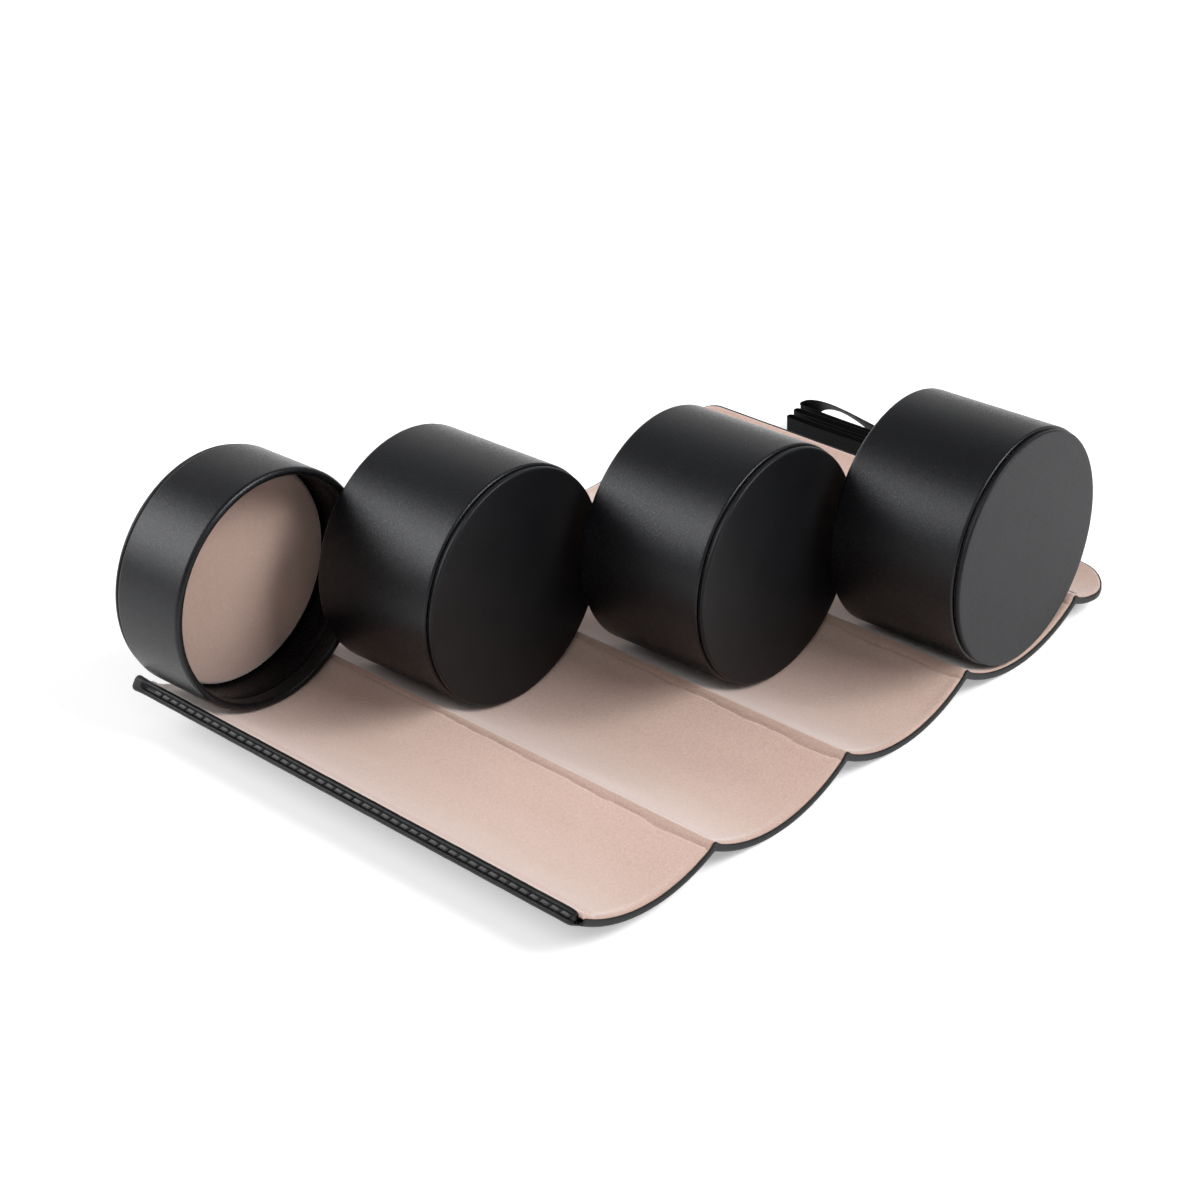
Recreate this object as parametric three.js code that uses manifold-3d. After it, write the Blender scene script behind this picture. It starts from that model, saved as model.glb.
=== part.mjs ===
// Jewelry roll: a padded mat of four curved panels and a closing flap, with a lid and three cups
// fixed across it. Rolled up at its folds, the panels close into a tube around the cups.
// Millimetres. +X runs along the mat towards the flap, +Y along the cup axes towards the back
// edge, +Z up. The origin is the bottom centre of the whole roll.
import * as THREE from "three";
import { mergeVertices } from "three/addons/utils/BufferGeometryUtils.js";
import Module from "manifold-3d";

const wasm = await Module();
wasm.setup();

// Cups and lid: the wall is built inwards from the drum radius
const DRUM_RADIUS = 45;
const DRUM_SEAT_GAP = 0.3;
const CUP_LENGTH = 55;
const LID_LENGTH = 33.2;
const WALL_GAP = 0.15;
const WRAP_THICK = 0.8;
const TUBE_THICK = 1.1;
const SLEEVE_THICK = 0.8;
const TUBE_OUTER = DRUM_RADIUS - WRAP_THICK - WALL_GAP;
const TUBE_INNER = TUBE_OUTER - TUBE_THICK;
const SLEEVE_OUTER = TUBE_INNER - WALL_GAP;
const BORE_RADIUS = SLEEVE_OUTER - SLEEVE_THICK;
const RIM_WIDTH = 1.5;
const RIM_INNER = DRUM_RADIUS - RIM_WIDTH;
const DISC_RADIUS = DRUM_RADIUS - 0.8;
const DISC_PROUD = 0.3;
const DISC_BACK = 3.3;
const SHELL_START = DISC_BACK + 0.3;
const PAD_RADIUS = BORE_RADIUS - 0.3;
const PAD_TOP = 14.1;
const TURN_IN = 6;
const DRUM_SIDES = 36;

// Mat: each cup panel is as wide as the drum needs for the closed tube
const MAT_WIDTH = 214.5;
const PANEL_PITCH = DRUM_RADIUS * 1.535556;
const LID_PANEL_REACH = PANEL_PITCH * 0.89;
const LID_PANEL_TILT = THREE.MathUtils.degToRad(4.6);
const LINING_THICK = 0.8;
const BOARD_THICK = 1.0;
const COVER_THICK = 0.9;
const LAYER_GAP = 0.2;
const COVER_LIP = 1.2;
const FOLD_GAP = 0.3;
const BOARD_STOP = 3.5;
const PANEL_FACETS = 15;

// Places along the mat's width: the drums follow each other from the front edge to the back
const FIRST_CUP_INSET = 0.55;
const CUP_GAPS = [4.7, 6.4, 2.7];
const CUP_FRONTS = { cup_4: -MAT_WIDTH / 2 + FIRST_CUP_INSET };
CUP_FRONTS.cup_3 = CUP_FRONTS.cup_4 + CUP_LENGTH + CUP_GAPS[0];
CUP_FRONTS.cup_2 = CUP_FRONTS.cup_3 + CUP_LENGTH + CUP_GAPS[1];
const LID_MOUTH = CUP_FRONTS.cup_2 + CUP_LENGTH + CUP_GAPS[2];
const CUP_OFFSETS = { cup_2: 0.6, cup_3: 1.8, cup_4: -0.4 };
// The lid sits in the lowest part of its panel, turned a little towards the cups
const LID_SEAT_TURN = THREE.MathUtils.degToRad(-2.4);
const LID_YAW = THREE.MathUtils.degToRad(2);

// Flap: curled more tightly over its back half than at its front corner
const FLAP_FOLD_SLOPE = THREE.MathUtils.degToRad(31.3);
const FLAP_CURL_FRONT = 34;
const FLAP_CURL_BACK = 25;
const FLAP_REACH_FRONT = 28;
const FLAP_REACH_BACK = 35.3;
const FLAP_CORNER = 14;
const FLAP_FACETS = 10;

// Tie ribbon, folded into runs that stand on edge behind the flap
const RIBBON_WIDTH = 10;
const RIBBON_THICK = 0.7;
const RIBBON_PITCH = 3.3;
const RIBBON_RUNS = 6;
const RIBBON_FIRST_RUN = 55;
const RIBBON_BACK = 75;
const RIBBON_STAGGER = 0.8;
const RIBBON_FRONT = -38;
const RIBBON_HEIGHT = 5.5;
const RIBBON_ARCH = 7;

const leather = { color: 0x1b1b1d, roughness: 0.45, metalness: 0 };
const velvet = { color: 0xe3cfc8, roughness: 0.95, metalness: 0 };
const card = { color: 0x8a7a66, roughness: 0.9, metalness: 0 };
const satin = { color: 0x222224, roughness: 0.35, metalness: 0 };

// Depths of the layers below the lining's surface; the cover turns up around the other two
const LINING_DEPTH = [0, LINING_THICK];
const BOARD_DEPTH = [LINING_THICK + LAYER_GAP, LINING_THICK + LAYER_GAP + BOARD_THICK];
const COVER_DEPTH = [BOARD_DEPTH[1] + LAYER_GAP, BOARD_DEPTH[1] + LAYER_GAP + COVER_THICK];
const MAT_THICK = COVER_DEPTH[1];

// Panel arc: the lining passes just under the drum and ends at the folds
const HALF_PITCH = PANEL_PITCH / 2;
const SAGITTA = DRUM_RADIUS + DRUM_SEAT_GAP - HALF_PITCH;
const LINING_RADIUS = (HALF_PITCH * HALF_PITCH + SAGITTA * SAGITTA) / (2 * SAGITTA);
const COVER_RADIUS = LINING_RADIUS + MAT_THICK;
const FLAT_HALF_ANGLE = Math.asin((HALF_PITCH - FOLD_GAP / 2) / COVER_RADIUS) / PANEL_FACETS;
const ARC_HEIGHT = COVER_RADIUS * Math.cos(FLAT_HALF_ANGLE);
const DRUM_HEIGHT = ARC_HEIGHT - LINING_RADIUS + DRUM_SEAT_GAP + DRUM_RADIUS;
const CREST_HEIGHT = ARC_HEIGHT - (LINING_RADIUS - SAGITTA);

function closedGeometry(positions, triangles) {
  let volume = 0;
  const corner = (i) => new THREE.Vector3().fromArray(positions, 3 * i);
  for (let i = 0; i < triangles.length; i += 3) {
    const [a, b, c] = [corner(triangles[i]), corner(triangles[i + 1]), corner(triangles[i + 2])];
    volume += a.dot(b.cross(c)) / 6;
  }
  const geometry = new THREE.BufferGeometry();
  geometry.setAttribute("position", new THREE.Float32BufferAttribute(positions, 3));
  geometry.setIndex(volume > 0 ? triangles : triangles.slice().reverse());
  return geometry;
}

function bare(geometry) {
  const copy = geometry.clone();
  copy.deleteAttribute("normal");
  copy.deleteAttribute("uv");
  const merged = mergeVertices(copy, 1e-4);
  const index = Array.from(merged.index.array);
  const kept = [];
  for (let i = 0; i < index.length; i += 3) {
    const [a, b, c] = [index[i], index[i + 1], index[i + 2]];
    if (a !== b && b !== c && c !== a) {
      kept.push(a, b, c);
    }
  }
  return closedGeometry(Array.from(merged.attributes.position.array), kept);
}

function toSolid(geometry) {
  const merged = bare(geometry);
  const mesh = new wasm.Mesh({
    numProp: 3,
    vertProperties: new Float32Array(merged.attributes.position.array),
    triVerts: new Uint32Array(merged.index.array),
  });
  return new wasm.Manifold(mesh);
}

function fromSolid(solid) {
  const mesh = solid.getMesh();
  return closedGeometry(Array.from(mesh.vertProperties), Array.from(mesh.triVerts));
}

const cut = (geometry, tool) => fromSolid(toSolid(geometry).subtract(toSolid(tool)));

// A slab bent about arcs parallel to Y. Each station gives y, the arc's centre, the lining's
// radius, and the angles (from straight down) where a layer of a given radius starts and ends.
function bentSlab(stations, depths, facets) {
  const positions = [];
  const triangles = [];
  const across = facets + 1;
  const vertex = (side, station, j) => (side * stations.length + station) * across + j;
  for (const depth of depths) {
    for (const { y, centre, radius, from, to } of stations) {
      const r = radius + depth;
      const [start, end] = [from(r), to(r)];
      for (let j = 0; j < across; j += 1) {
        const angle = start + ((end - start) * j) / facets;
        positions.push(centre.x + r * Math.sin(angle), y, centre.z - r * Math.cos(angle));
      }
    }
  }
  const quad = (a, b, c, d) => triangles.push(a, b, c, a, c, d);
  const last = stations.length - 1;
  for (let i = 0; i < last; i += 1) {
    for (let j = 0; j < facets; j += 1) {
      quad(vertex(0, i, j), vertex(0, i, j + 1), vertex(0, i + 1, j + 1), vertex(0, i + 1, j));
      quad(vertex(1, i, j), vertex(1, i + 1, j), vertex(1, i + 1, j + 1), vertex(1, i, j + 1));
    }
    quad(vertex(0, i, 0), vertex(0, i + 1, 0), vertex(1, i + 1, 0), vertex(1, i, 0));
    quad(vertex(0, i, facets), vertex(1, i, facets), vertex(1, i + 1, facets), vertex(0, i + 1, facets));
  }
  for (let j = 0; j < facets; j += 1) {
    quad(vertex(0, 0, j), vertex(1, 0, j), vertex(1, 0, j + 1), vertex(0, 0, j + 1));
    quad(vertex(0, last, j), vertex(0, last, j + 1), vertex(1, last, j + 1), vertex(1, last, j));
  }
  return closedGeometry(positions, triangles);
}

const roll = new THREE.Group();

function addPiece(name, geometry, look, place = [0, 0, 0]) {
  const piece = new THREE.Mesh(bare(geometry), new THREE.MeshStandardMaterial(look));
  piece.name = name;
  piece.position.set(...place);
  roll.add(piece);
  return piece;
}

// A layer that ends at the upright plane x, or at a fixed angle on the arc
const atPlane = (x, centre) => (r) => Math.asin((x - centre.x) / r);
const atAngle = (angle) => () => angle;

// Straight panel between y limits, its ends given as functions of the layer's radius
function panelLayer(centre, from, to, depths, halfWidth) {
  const stations = [-halfWidth, halfWidth].map((y) => ({ y, centre, radius: LINING_RADIUS, from, to }));
  return bentSlab(stations, depths, PANEL_FACETS);
}

function addPanel(name, centre, from, to, boardFrom, boardTo, cutFrom, cutTo) {
  const half = MAT_WIDTH / 2;
  const inside = half - COVER_LIP - LAYER_GAP;
  const body = panelLayer(centre, from, to, [0, COVER_DEPTH[1]], half);
  const pocketDepth = [-0.5, COVER_DEPTH[0]];
  const pocket = panelLayer(centre, cutFrom, cutTo, pocketDepth, half - COVER_LIP);
  addPiece(`${name}_cover`, cut(body, pocket), leather);
  addPiece(`${name}_board`, panelLayer(centre, boardFrom, boardTo, BOARD_DEPTH, inside), card);
  addPiece(`${name}_lining`, panelLayer(centre, from, to, LINING_DEPTH, inside), velvet);
}

// Fold crests, counted from the lid panel's fold at x = 0
const crestX = (fold) => (fold - 1) * PANEL_PITCH;

// Lid panel: narrower than the others and tilted up about its fold
const lidHalf = LID_PANEL_REACH / 2;
const lidArcRise = Math.sqrt(LINING_RADIUS * LINING_RADIUS - lidHalf * lidHalf);
const lidPanelCentre = {
  x: -lidHalf * Math.cos(LID_PANEL_TILT) + lidArcRise * Math.sin(LID_PANEL_TILT),
  z: CREST_HEIGHT + lidHalf * Math.sin(LID_PANEL_TILT) + lidArcRise * Math.cos(LID_PANEL_TILT),
};
const lidPanelEnd = -Math.asin(lidHalf / LINING_RADIUS) - LID_PANEL_TILT;
addPanel(
  "panel_1",
  lidPanelCentre,
  atAngle(lidPanelEnd),
  atPlane(-FOLD_GAP / 2, lidPanelCentre),
  atAngle(lidPanelEnd + BOARD_STOP / LINING_RADIUS),
  atPlane(-BOARD_STOP, lidPanelCentre),
  atAngle(lidPanelEnd - 0.05),
  atPlane(2, lidPanelCentre),
);

// Cup panels
for (const number of [2, 3, 4]) {
  const centre = { x: crestX(number) - HALF_PITCH, z: ARC_HEIGHT };
  const reach = HALF_PITCH - FOLD_GAP / 2;
  const board = HALF_PITCH - BOARD_STOP;
  addPanel(
    `panel_${number}`,
    centre,
    atPlane(centre.x - reach, centre),
    atPlane(centre.x + reach, centre),
    atPlane(centre.x - board, centre),
    atPlane(centre.x + board, centre),
    atPlane(centre.x - HALF_PITCH - 2, centre),
    atPlane(centre.x + HALF_PITCH + 2, centre),
  );
}

// Leather binding folded over the free end of the lid panel; its profile is drawn along the
// end's slope, with the panel's end face at 0 and the lining's surface at 0
const BINDING_GAP = 0.3;
const BINDING_THICK = 1.1;
const BINDING_LIP = 0.9;
const BINDING_REACH = 4;
const outside = BINDING_GAP + BINDING_THICK;
const underside = -MAT_THICK - BINDING_GAP;
const lowest = underside - BINDING_LIP;
const bindingShape = new THREE.Shape();
bindingShape.moveTo(BINDING_GAP, 0.35);
bindingShape.lineTo(BINDING_GAP, underside);
bindingShape.lineTo(-BINDING_REACH, underside);
bindingShape.lineTo(-BINDING_REACH, lowest);
bindingShape.lineTo(outside - 0.7, lowest);
bindingShape.quadraticCurveTo(outside, lowest, outside, lowest + 0.7);
bindingShape.lineTo(outside, -0.2);
bindingShape.quadraticCurveTo(outside, 0.35, BINDING_GAP, 0.35);
const binding = new THREE.ExtrudeGeometry(bindingShape, {
  depth: MAT_WIDTH,
  bevelEnabled: false,
  curveSegments: 4,
});
// Drawn outwards along +X, so it is turned to face the free end and leans with the arc there
binding.translate(0, 0, -MAT_WIDTH / 2);
binding.rotateX(Math.PI / 2);
binding.rotateZ(Math.PI);
binding.rotateY(-lidPanelEnd);
addPiece("end_binding", binding, leather, [
  lidPanelCentre.x + LINING_RADIUS * Math.sin(lidPanelEnd),
  0,
  lidPanelCentre.z - LINING_RADIUS * Math.cos(lidPanelEnd),
]);

// Flap: stations along Y, closer together where the corners are rounded
function flapShape(y) {
  const half = MAT_WIDTH / 2;
  const along = THREE.MathUtils.clamp((y + half) / (half * 0.85), 0, 1);
  const radius = THREE.MathUtils.lerp(FLAP_CURL_FRONT, FLAP_CURL_BACK, along);
  const reach = THREE.MathUtils.lerp(FLAP_REACH_FRONT, FLAP_REACH_BACK, along);
  const centre = {
    x: crestX(4) + radius * Math.sin(FLAP_FOLD_SLOPE),
    z: CREST_HEIGHT + radius * Math.cos(FLAP_FOLD_SLOPE),
  };
  return { radius, reach, centre };
}

function flapStation(y, inset, start) {
  const half = MAT_WIDTH / 2;
  const { radius, reach, centre } = flapShape(y);
  const intoCorner = Math.max(0, FLAP_CORNER - (half - Math.abs(y)));
  const corner = FLAP_CORNER - inset;
  const cutBack = FLAP_CORNER - Math.sqrt(Math.max(0, corner * corner - intoCorner * intoCorner)) - inset;
  const end = -FLAP_FOLD_SLOPE + (reach - inset - Math.max(0, cutBack)) / radius;
  return { y, centre, radius, from: atPlane(crestX(4) + start, centre), to: atAngle(end) };
}

function flapLayer(depths, inset, start) {
  const half = MAT_WIDTH / 2 - inset;
  const corner = FLAP_CORNER - inset;
  const steps = [0, 0.1, 0.25, 0.45, 0.7, 1].map((t) => corner * (1 - Math.cos((t * Math.PI) / 2)));
  const middle = [-0.6, -0.3, 0, 0.4].map((t) => t * half);
  const ys = [...steps.map((s) => -half + s), ...middle, ...steps.map((s) => half - s).reverse()];
  return bentSlab(ys.map((y) => flapStation(y, inset, start)), depths, FLAP_FACETS);
}

const flapBody = flapLayer([0, COVER_DEPTH[1]], 0, FOLD_GAP / 2);
const flapPocket = flapLayer([-0.5, COVER_DEPTH[0]], COVER_LIP, -2);
addPiece("flap_cover", cut(flapBody, flapPocket), leather);
addPiece("flap_board", flapLayer(BOARD_DEPTH, COVER_LIP + LAYER_GAP + 0.1, BOARD_STOP), card);
addPiece("flap_lining", flapLayer(LINING_DEPTH, COVER_LIP + LAYER_GAP + 0.1, FOLD_GAP / 2), velvet);

// Patch that holds the ribbon's sewn end under the flap
const patchDepth = [MAT_THICK + 0.3, MAT_THICK + 1.3];
const patchStations = [-9, 9].map((y) => {
  const { radius, centre } = flapShape(0);
  return { y, centre, radius, from: atAngle(-0.24), to: atAngle(0.14) };
});
addPiece("ribbon_anchor", bentSlab(patchStations, patchDepth, 5), leather);

// Cups and lid, turned about Y, drawn with the closed end at y = 0 and the mouth at y = length
function lathe(profile) {
  return new THREE.LatheGeometry(profile.map(([r, y]) => new THREE.Vector2(r, y)), DRUM_SIDES);
}

function wrapProfile(length) {
  const inner = DRUM_RADIUS - WRAP_THICK;
  const shoulder = SHELL_START + 1;
  const mouth = length - 2.5;
  const lip = (DRUM_RADIUS - BORE_RADIUS) / 2;
  const chamfer = lip * 0.29;
  return [
    [RIM_INNER, shoulder],
    [RIM_INNER, SHELL_START + 0.3],
    [RIM_INNER + 0.3, SHELL_START],
    [DRUM_RADIUS - 0.8, SHELL_START],
    [DRUM_RADIUS - 0.2, SHELL_START + 0.25],
    [DRUM_RADIUS, SHELL_START + 0.9],
    [DRUM_RADIUS, length - lip],
    [DRUM_RADIUS - chamfer, length - chamfer],
    [DRUM_RADIUS - lip, length],
    [BORE_RADIUS + chamfer, length - chamfer],
    [BORE_RADIUS, length - lip],
    [BORE_RADIUS, length - TURN_IN],
    [SLEEVE_OUTER, length - TURN_IN],
    [SLEEVE_OUTER, mouth],
    [inner, mouth],
    [inner, shoulder],
    [RIM_INNER, shoulder],
  ];
}

const ring = (inner, outer, start, end) => [
  [inner, start],
  [outer, start],
  [outer, end],
  [inner, end],
  [inner, start],
];

function addDrum(name, length, place, mouthFront, yaw = 0) {
  const tubeStart = SHELL_START + 1.2;
  const discProfile = [
    [0, -DISC_PROUD],
    [DISC_RADIUS - 0.9, -DISC_PROUD],
    [DISC_RADIUS - 0.2, 0],
    [DISC_RADIUS, 0.7],
    [DISC_RADIUS, DISC_BACK - 0.7],
    [DISC_RADIUS - 0.6, DISC_BACK],
    [0, DISC_BACK],
  ];
  const padProfile = [
    [0, SHELL_START],
    [PAD_RADIUS, SHELL_START],
    [PAD_RADIUS, PAD_TOP - 1.5],
    [PAD_RADIUS - 0.44, PAD_TOP - 0.44],
    [PAD_RADIUS - 1.5, PAD_TOP],
    [0, PAD_TOP],
  ];
  const pieces = [
    ["wrap", wrapProfile(length), leather],
    ["tube", ring(TUBE_INNER, TUBE_OUTER, tubeStart, length - 2.7), card],
    ["sleeve", ring(BORE_RADIUS, SLEEVE_OUTER, SHELL_START, length - TURN_IN - 0.3), leather],
    ["end_disc", discProfile, leather],
    ["base_pad", padProfile, velvet],
  ];
  for (const [part, profile, look] of pieces) {
    const geometry = lathe(profile);
    if (mouthFront) {
      geometry.rotateZ(Math.PI);
    }
    geometry.rotateZ(yaw);
    addPiece(`${name}_${part}`, geometry, look, place);
  }
}

const seat = LINING_RADIUS - DRUM_SEAT_GAP - DRUM_RADIUS;
addDrum("lid", LID_LENGTH, [
  lidPanelCentre.x + seat * Math.sin(LID_SEAT_TURN) - (LID_LENGTH / 2) * Math.sin(LID_YAW),
  LID_MOUTH + LID_LENGTH,
  lidPanelCentre.z - seat * Math.cos(LID_SEAT_TURN),
], true, LID_YAW);
for (const number of [2, 3, 4]) {
  const name = `cup_${number}`;
  const offset = CUP_OFFSETS[name];
  const rise = seat - Math.sqrt(seat * seat - offset * offset);
  const x = crestX(number) - HALF_PITCH + offset;
  addDrum(name, CUP_LENGTH, [x, CUP_FRONTS[name], DRUM_HEIGHT + rise], false);
}

// Ribbon route: flat from the patch, twisting upright, then back and forth; lean is the angle
// between the ribbon's width and the upright
function ribbonRoute() {
  const route = [];
  const put = (x, y, z, lean) => route.push({ at: new THREE.Vector3(crestX(4) + x, y, z), lean });
  const { radius, centre } = flapShape(0);
  const start = { r: radius + MAT_THICK + 0.8, angle: 0.17 };
  const startX = centre.x - crestX(4) + start.r * Math.sin(start.angle);
  const startZ = centre.z - start.r * Math.cos(start.angle);
  const bend = 9;
  const leadEnd = RIBBON_FIRST_RUN - bend;
  for (let i = 0; i <= 8; i += 1) {
    const t = i / 8;
    const lift = 0.9 * Math.sin(Math.PI * Math.min(1, t * 1.3));
    const z = THREE.MathUtils.lerp(startZ, RIBBON_HEIGHT, t) + lift;
    put(THREE.MathUtils.lerp(startX, leadEnd, t), 0, z, 90 * (1 - THREE.MathUtils.smoothstep(t, 0.15, 0.95)));
  }
  for (let i = 1; i <= 5; i += 1) {
    const a = (i / 5) * (Math.PI / 2);
    put(leadEnd + bend * Math.sin(a), bend * (1 - Math.cos(a)), RIBBON_HEIGHT, 0);
  }
  let x = RIBBON_FIRST_RUN;
  let y = bend;
  let heading = 1;
  for (let run = 0; run < RIBBON_RUNS; run += 1) {
    const stop = heading > 0 ? RIBBON_BACK + RIBBON_STAGGER * run : RIBBON_FRONT;
    const free = run === RIBBON_RUNS - 1;
    const steps = free ? 20 : 8;
    for (let i = 1; i <= steps; i += 1) {
      const t = i / steps;
      const arch = free && t < 0.4 ? Math.sin(Math.PI * (2.5 * t) ** 0.6) : 0;
      const sway = 0.5 * Math.sin(2 * Math.PI * t) * (free ? 0 : 1);
      put(x + sway, y + (stop - y) * t, RIBBON_HEIGHT + RIBBON_ARCH * arch, 50 * Math.sqrt(arch));
    }
    if (free) {
      break;
    }
    for (let i = 1; i <= 6; i += 1) {
      const a = (i / 6) * Math.PI;
      const half = RIBBON_PITCH / 2;
      put(x + half * (1 - Math.cos(a)), stop + heading * half * Math.sin(a), RIBBON_HEIGHT, 0);
    }
    x += RIBBON_PITCH;
    y = stop;
    heading = -heading;
  }
  return route;
}

function ribbonStrip(route) {
  const positions = [];
  const triangles = [];
  const up = new THREE.Vector3(0, 0, 1);
  const rails = [];
  route.forEach(({ at, lean }, i) => {
    const before = route[Math.max(0, i - 1)].at;
    const after = route[Math.min(route.length - 1, i + 1)].at;
    const along = after.clone().sub(before).normalize();
    const side = along.clone().cross(up).normalize();
    const upright = side.clone().cross(along);
    const angle = THREE.MathUtils.degToRad(lean);
    const width = upright.multiplyScalar(Math.cos(angle)).addScaledVector(side, Math.sin(angle));
    const normal = along.clone().cross(width);
    for (const [w, n] of [[-1, -1], [1, -1], [1, 1], [-1, 1]]) {
      const corner = at.clone();
      corner.addScaledVector(width, (w * RIBBON_WIDTH) / 2);
      corner.addScaledVector(normal, (n * RIBBON_THICK) / 2);
      positions.push(corner.x, corner.y, corner.z);
    }
    rails.push([-0.5, 0, 0.5].map((w) => at.clone().addScaledVector(width, w * RIBBON_WIDTH)));
  });
  for (let i = 0; i + 1 < route.length; i += 1) {
    for (let k = 0; k < 4; k += 1) {
      const [a, b] = [4 * i + k, 4 * i + ((k + 1) % 4)];
      triangles.push(a, b, b + 4, a, b + 4, a + 4);
    }
  }
  const end = 4 * (route.length - 1);
  triangles.push(0, 2, 1, 0, 3, 2, end, end + 1, end + 2, end, end + 2, end + 3);
  return { geometry: closedGeometry(positions, triangles), rails };
}

// Least gap between stretches of the ribbon that are more than a turn apart along it
function leastGap(rails, travelled) {
  let least = Infinity;
  for (let i = 0; i < rails.length; i += 1) {
    for (let j = i + 1; j < rails.length; j += 1) {
      if (travelled[j] - travelled[i] > 2 * RIBBON_PITCH) {
        for (const a of rails[i]) {
          for (const b of rails[j]) {
            least = Math.min(least, a.distanceTo(b) - RIBBON_THICK);
          }
        }
      }
    }
  }
  return least;
}

const route = ribbonRoute();
const ribbon = ribbonStrip(route);
const travelled = [0];
for (let i = 1; i < route.length; i += 1) {
  travelled.push(travelled[i - 1] + route[i].at.distanceTo(route[i - 1].at));
}
addPiece("tie_ribbon", ribbon.geometry, satin);
console.log("ribbon length", travelled.at(-1).toFixed(1), "least gap to itself",
  leastGap(ribbon.rails, travelled).toFixed(2));

// Shift along X so that the origin is under the middle of the roll
const bounds = new THREE.Box3().setFromObject(roll);
roll.position.x = -(bounds.min.x + bounds.max.x) / 2;
console.log("first fold at x", roll.position.x.toFixed(3), "crest height", CREST_HEIGHT.toFixed(3),
  "drum height", DRUM_HEIGHT.toFixed(3), "size", bounds.getSize(new THREE.Vector3()).toArray().map((v) => v.toFixed(2)));

export default roll;
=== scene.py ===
"""Jewelry roll laid open: leather, velvet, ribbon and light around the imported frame.

Shapes are worked out in millimetres, in the frame of the solids, and stored in metres.
"""

import math

import bmesh
import bpy
import numpy as np
from mathutils import Matrix, Vector


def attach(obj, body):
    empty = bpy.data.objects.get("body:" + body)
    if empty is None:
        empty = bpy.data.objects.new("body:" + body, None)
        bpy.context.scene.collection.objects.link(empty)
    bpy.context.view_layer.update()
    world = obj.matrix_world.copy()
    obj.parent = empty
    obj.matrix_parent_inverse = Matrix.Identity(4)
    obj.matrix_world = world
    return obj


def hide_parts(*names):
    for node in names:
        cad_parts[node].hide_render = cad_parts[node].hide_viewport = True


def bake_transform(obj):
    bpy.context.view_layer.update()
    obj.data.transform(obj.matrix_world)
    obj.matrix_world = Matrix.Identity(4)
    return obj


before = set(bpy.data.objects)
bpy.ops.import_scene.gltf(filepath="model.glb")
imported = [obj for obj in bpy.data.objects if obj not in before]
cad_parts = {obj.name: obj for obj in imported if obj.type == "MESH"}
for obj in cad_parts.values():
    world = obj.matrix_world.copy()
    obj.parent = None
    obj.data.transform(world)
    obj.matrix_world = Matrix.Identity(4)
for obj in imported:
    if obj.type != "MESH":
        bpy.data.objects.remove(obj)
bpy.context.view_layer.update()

MM = 0.001
scene = bpy.context.scene
scene.view_settings.view_transform = "Standard"

# Drums, as in the solids
DRUM_RADIUS = 45.0
SEAT_GAP = 0.3
CUP_LENGTH = 55.0
LID_LENGTH = 33.2
WRAP_INNER = 44.2
SLEEVE_OUTER = 42.8
BORE_RADIUS = 42.0
RIM_INNER = 43.5
DISC_RADIUS = 44.2
DISC_PROUD = 0.3
SHELL_START = 3.6
PAD_RADIUS = 41.7
PAD_TOP = 14.1
TURN_IN = 6.0
WRAP_STEP = 2.5
TUBE_INNER = 42.95
TUBE_OUTER = 44.05
TUBE_START = 4.8
TUBE_SHORT = 2.7

# The leather hides the joint between shell and end plate: the visible groove lies nearer the face
GROOVE = 2.0
GROOVE_HALF = 0.16

# Mat, as in the solids
FIRST_FOLD = -105.176
PITCH = DRUM_RADIUS * 1.535556
HALF_PITCH = PITCH / 2
HALF_WIDTH = 107.25
MAT_THICK = 3.1
LINING_THICK = 0.8
COVER_INSIDE = 2.2
SAGITTA = DRUM_RADIUS + SEAT_GAP - HALF_PITCH
LINING_RADIUS = (HALF_PITCH**2 + SAGITTA**2) / (2 * SAGITTA)
ARC_HEIGHT = 63.950
CREST_HEIGHT = ARC_HEIGHT - (LINING_RADIUS - SAGITTA)
LID_REACH = PITCH * 0.89
LID_TILT = math.radians(4.6)
SEAT = LINING_RADIUS - SEAT_GAP - DRUM_RADIUS
LID_SEAT_TURN = math.radians(-2.4)
LID_YAW = math.radians(2)
LID_CLOSED_END = 105.3

# Flap, as in the solids
FLAP_SLOPE = math.radians(31.3)
FLAP_CURL = (34.0, 25.0)
FLAP_REACH = (28.0, 35.3)
FLAP_CORNER = 14.0

# Tie ribbon, as in the solids
RIBBON_WIDTH = 10.0
RIBBON_PITCH = 3.3
RIBBON_RUNS = 6
RIBBON_FIRST_RUN = 55.0
RIBBON_BACK = 75.0
RIBBON_STAGGER = 0.8
RIBBON_FRONT = -38.0
RIBBON_HEIGHT = 5.5
RIBBON_ARCH = 7.0
RIBBON_BEND = 9.0

# Width of mat on each side of a crest that is curved over the fold
STRIP = 5.0


def crest_x(fold):
    return FIRST_FOLD + (fold - 1) * PITCH


def smoothstep(low, high, value):
    t = min(1.0, max(0.0, (value - low) / (high - low)))
    return t * t * (3 - 2 * t)


def lerp(a, b, t):
    return a + (b - a) * t


def bell(value, width):
    return math.exp(-((value / width) ** 2))


# Camera, at the photograph's place
CAMERA_PLACE = (-0.626226, -0.553609, 0.501797)
CAMERA_AZIMUTH = math.radians(-46.4933)
CAMERA_ELEVATION = math.radians(30.0378)
CAMERA_ROLL = math.radians(-1.8230)
CAMERA_LENS = 77.852


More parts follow.
